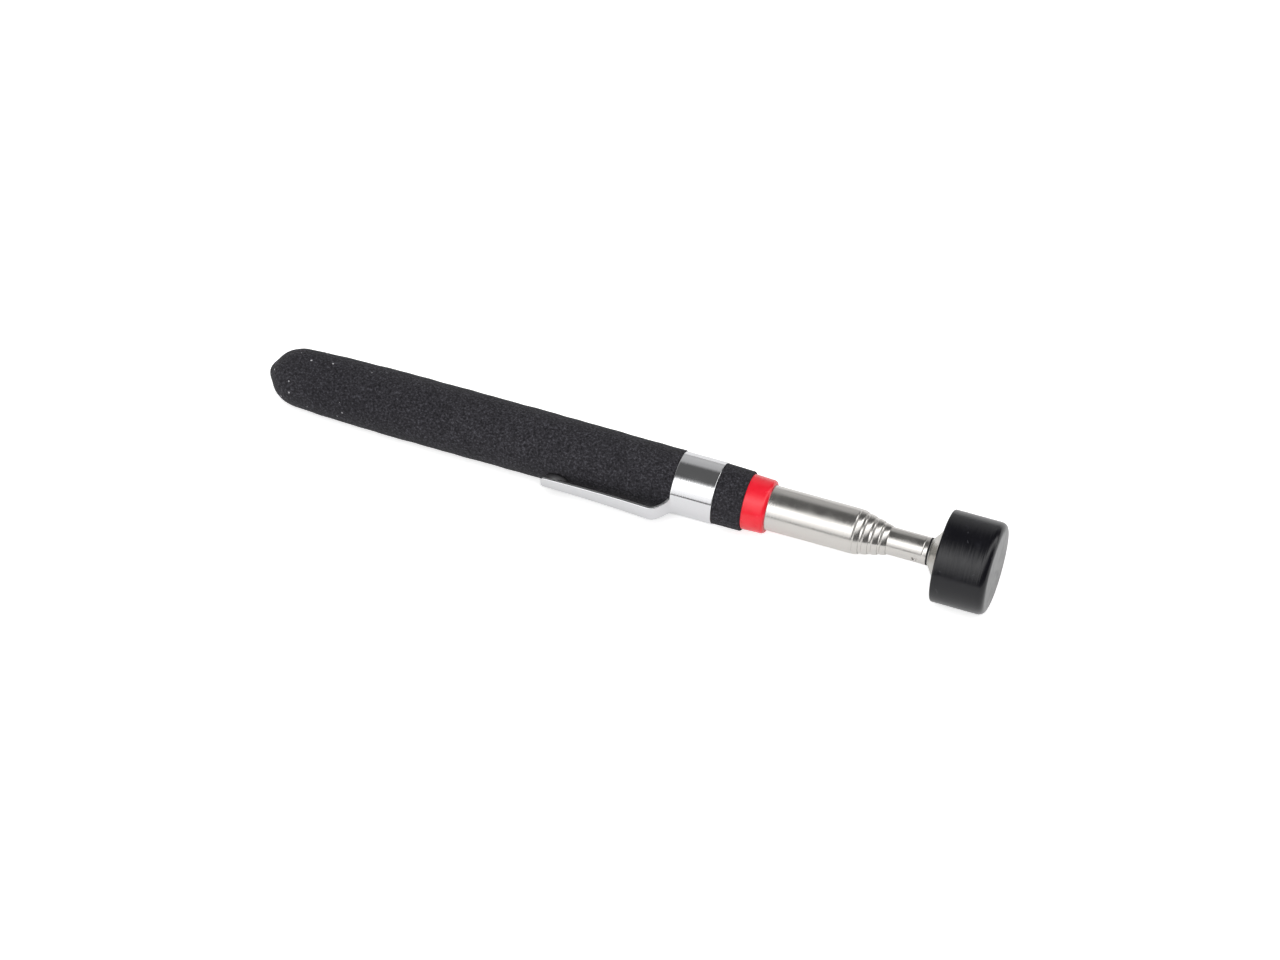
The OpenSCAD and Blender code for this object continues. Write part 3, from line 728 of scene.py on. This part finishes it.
def make_floor():
    """A plain pale floor that touches the head and the grip, and looks white but keeps the shadow.

    A square whose height runs straight through the two contacts: z = z0 + (x - x0) slope.
    """
    slope = (GRIP_RADIUS - CAP_RADIUS) / (HEAD_CONTACT - GRIP_CONTACT)
    x = FLOOR_REACH * np.array([-1.0, 1.0, 1.0, -1.0])
    y = FLOOR_REACH * np.array([-1.0, -1.0, 1.0, 1.0])
    corners = np.stack([x, y, (x - HEAD_CONTACT) * slope - CAP_RADIUS], -1) * MM
    mesh = bpy.data.meshes.new("floor")
    mesh.from_pydata(corners.tolist(), [], [(0, 1, 2, 3)])
    made = bpy.data.objects.new("floor", mesh)
    bpy.context.collection.objects.link(made)
    # Matt white paper: even and shineless, with some light of its own to the camera and in mirrors.
    paper = bpy.data.materials.new("matt_white_paper")
    paper.use_nodes = True
    tree = paper.node_tree
    tree.nodes.clear()
    path = add(tree, "LightPath").outputs
    body = add(tree, "BsdfDiffuse", links={"Color": grey(FLOOR_GREY)})
    direct = add(tree, "Math", {"operation": "MULTIPLY"}, {0: path["Is Camera Ray"], 1: FLOOR_LIFT})
    mirrored = add(tree, "Math", {"operation": "MULTIPLY"}, {0: path["Is Glossy Ray"], 1: FLOOR_MIRRORED})
    lift = add(tree, "Math", {"operation": "ADD"}, {0: direct.outputs[0], 1: mirrored.outputs[0]})
    glow = add(tree, "Emission", links={"Color": grey(1.0), "Strength": lift.outputs[0]})
    both = add(tree, "AddShader", links={0: body.outputs[0], 1: glow.outputs[0]})
    add(tree, "OutputMaterial", links={"Surface": both.outputs[0]})
    mesh.materials.append(paper)


def make_light():
    """A studio in the world's colour, and one soft lamp that no mirror shows.

    The studio has a bright soft front from the horizon to above the camera, a dim top and a pale back. Its
    angle is taken in the plane of the camera's direction and the vertical: 0 at the front horizon, 90 degrees
    overhead, 180 at the back horizon. The panels slant along the tool. The camera itself sees plain white.
    """
    world = bpy.data.worlds.new("studio")
    world.use_nodes = True
    bpy.context.scene.world = world
    tree = world.node_tree
    tree.nodes.clear()
    way = add(tree, "TexCoord").outputs["Generated"]
    front = (math.sin(CAMERA_AZIMUTH), -math.cos(CAMERA_AZIMUTH), 0.0)
    ahead = add(tree, "VectorMath", {"operation": "DOT_PRODUCT"}, {0: way, 1: front}).outputs["Value"]
    high = add(tree, "SeparateXYZ", links={"Vector": way}).outputs
    angle = add(tree, "Math", {"operation": "ARCTAN2"}, {0: high["Z"], 1: ahead})
    slant = {0: high["X"], 1: -SLANT, 2: SLANT * SLANT_FROM}
    level = add(tree, "Math", {"operation": "MULTIPLY_ADD"}, slant)
    slanted = add(tree, "Math", {"operation": "ADD"}, {0: angle.outputs[0], 1: level.outputs[0]})
    share = add(tree, "Math", {"operation": "DIVIDE"}, {0: slanted.outputs[0], 1: math.pi})
    panels = [(0.0, 0.05), (0.02, 0.08), (0.035, 0.4), (0.1, 0.5), (0.14, 0.52), (0.2, 0.72)]
    panels += [(0.25, 1.0), (0.31, 1.0), (0.345, 0.85), (0.375, 0.5), (0.4, 0.15)]
    panels += [(0.44, 0.05), (0.7, 0.05), (0.76, 0.2), (0.9, 0.24), (1.0, 0.22)]
    stops = [(position, grey(value)) for position, value in panels]
    glow = add(tree, "ValToRGB", {"stops": stops}, {"Fac": share.outputs[0]})
    seen = add(tree, "LightPath").outputs["Is Camera Ray"]
    studio = add(tree, "Background", links={"Color": glow.outputs["Color"], "Strength": STUDIO})
    white = add(tree, "Background", links={"Color": grey(1.0), "Strength": 1.0})
    mixed = add(tree, "MixShader", links={0: seen, 1: studio.outputs[0], 2: white.outputs[0]})
    add(tree, "OutputWorld", links={"Surface": mixed.outputs[0]})
    lamp = bpy.data.lights.new("soft_lamp", "AREA")
    lamp.shape, lamp.size, lamp.energy = "DISK", LAMP_SIZE, LAMP_POWER
    made = bpy.data.objects.new("soft_lamp", lamp)
    towards_lamp = math.sin(LAMP_TILT) * np.array(front) + np.array([0.0, 0.0, math.cos(LAMP_TILT)])
    made.location = np.array(along_tool(LOOK_AT_Z)) + LAMP_AWAY * towards_lamp
    made.rotation_euler = (LAMP_TILT, 0.0, CAMERA_AZIMUTH)
    made.visible_glossy = made.visible_camera = False
    bpy.context.collection.objects.link(made)


def make_camera():
    """A long lens at the photograph's angle, aimed at the middle of the tool."""
    turn, rise = CAMERA_AZIMUTH, CAMERA_ELEVATION
    back = np.array([math.sin(turn) * math.cos(rise), -math.cos(turn) * math.cos(rise), math.sin(rise)])
    right = np.array([math.cos(turn), math.sin(turn), 0.0])
    up = np.cross(back, right)
    target = np.array(along_tool(LOOK_AT_Z)) + (right * LOOK_RIGHT + up * LOOK_UP) * MM
    data = bpy.data.cameras.new("camera")
    data.sensor_width = SENSOR
    data.lens = FOCAL_PIXELS * SENSOR / FRAME_WIDTH
    data.clip_start, data.clip_end = 0.01, 20.0
    made = bpy.data.objects.new("camera", data)
    made.location = target + back * CAMERA_DISTANCE
    made.rotation_euler = (0.5 * math.pi - rise, 0.0, turn)
    bpy.context.collection.objects.link(made)
    bpy.context.scene.camera = made


make_floor()
make_light()
make_camera()
bpy.context.scene.view_settings.view_transform = "Standard"
